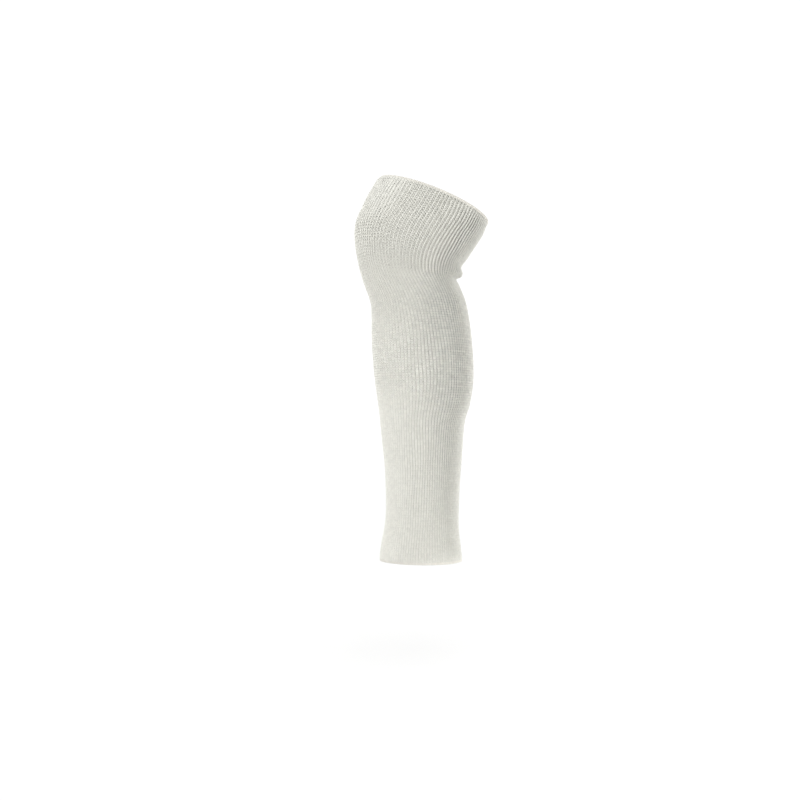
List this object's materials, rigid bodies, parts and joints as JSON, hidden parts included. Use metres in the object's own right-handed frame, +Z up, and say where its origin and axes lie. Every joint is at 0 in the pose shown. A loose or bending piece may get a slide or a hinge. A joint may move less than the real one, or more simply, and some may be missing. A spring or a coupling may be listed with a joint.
{
  "type": "knitted knee sleeve",
  "caption": "Long rib-knitted compression sleeve in its worn form, an open tube from above a bent knee to the ankle, with a turned welt round each opening.",
  "frame": {"origin": "the middle of the knee, inside the hollow, level with the bend at the back of the knee", "axes": "+Z up along the shin towards the knee, -Y the kneecap side, +X the inner side of a right leg"},
  "size_m": [0.1306, 0.1574, 0.4502],
  "materials": {
    "rib_knit": "matt ivory rib knit in a soft wool-like yarn",
    "welt_knit": "matt ivory plain knit, smoother and paler than the ribs"
  },
  "bodies": {
    "root": {"knit_tube": "rib_knit", "upper_welt": "welt_knit", "lower_welt": "welt_knit"}
  },
  "joints": []
}
